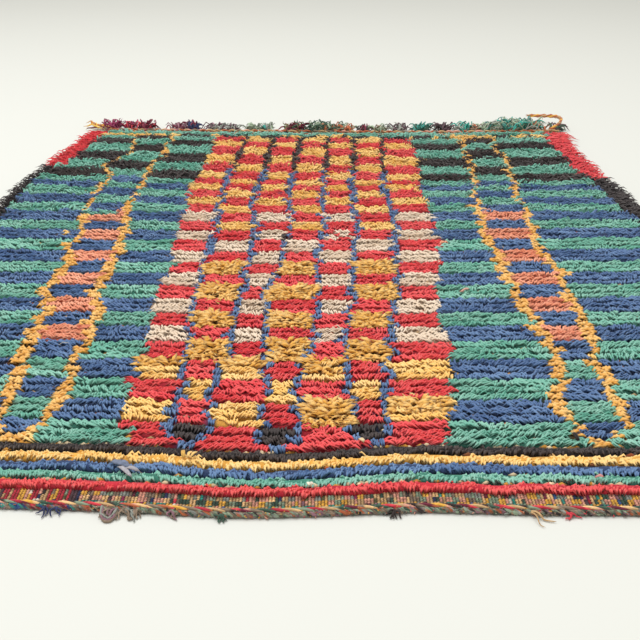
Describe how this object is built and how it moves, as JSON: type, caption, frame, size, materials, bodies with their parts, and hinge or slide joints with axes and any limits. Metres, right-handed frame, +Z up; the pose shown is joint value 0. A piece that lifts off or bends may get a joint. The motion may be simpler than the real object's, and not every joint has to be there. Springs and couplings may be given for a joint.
{
  "type": "boucherouite rug",
  "caption": "Flat hand-knotted wool rug with a shaggy pile, locks along both sides, a twined braid along one end and a bunched fringe along the other.",
  "frame": {"origin": "on the floor, under the middle of the rug's bounding box", "axes": "+Z up out of the pile, +Y along the rug from its braided end to its fringed end, +X to the right as seen from the braided end"},
  "size_m": [1.5487, 2.0967, 0.0257],
  "materials": {
    "wool_pile": "dull knotted wool pile in teal green, indigo blue, red, gold, cream, coral and brown-black",
    "yarn_ends": "loose bunched yarn ends in grey green, wine red, navy and terracotta",
    "edge_braid": "rolled and twined yarn of mixed colours"
  },
  "bodies": {
    "root": {"rug_body": "wool_pile", "fringe_far": "yarn_ends", "edge_braid_near": "edge_braid"}
  },
  "joints": []
}
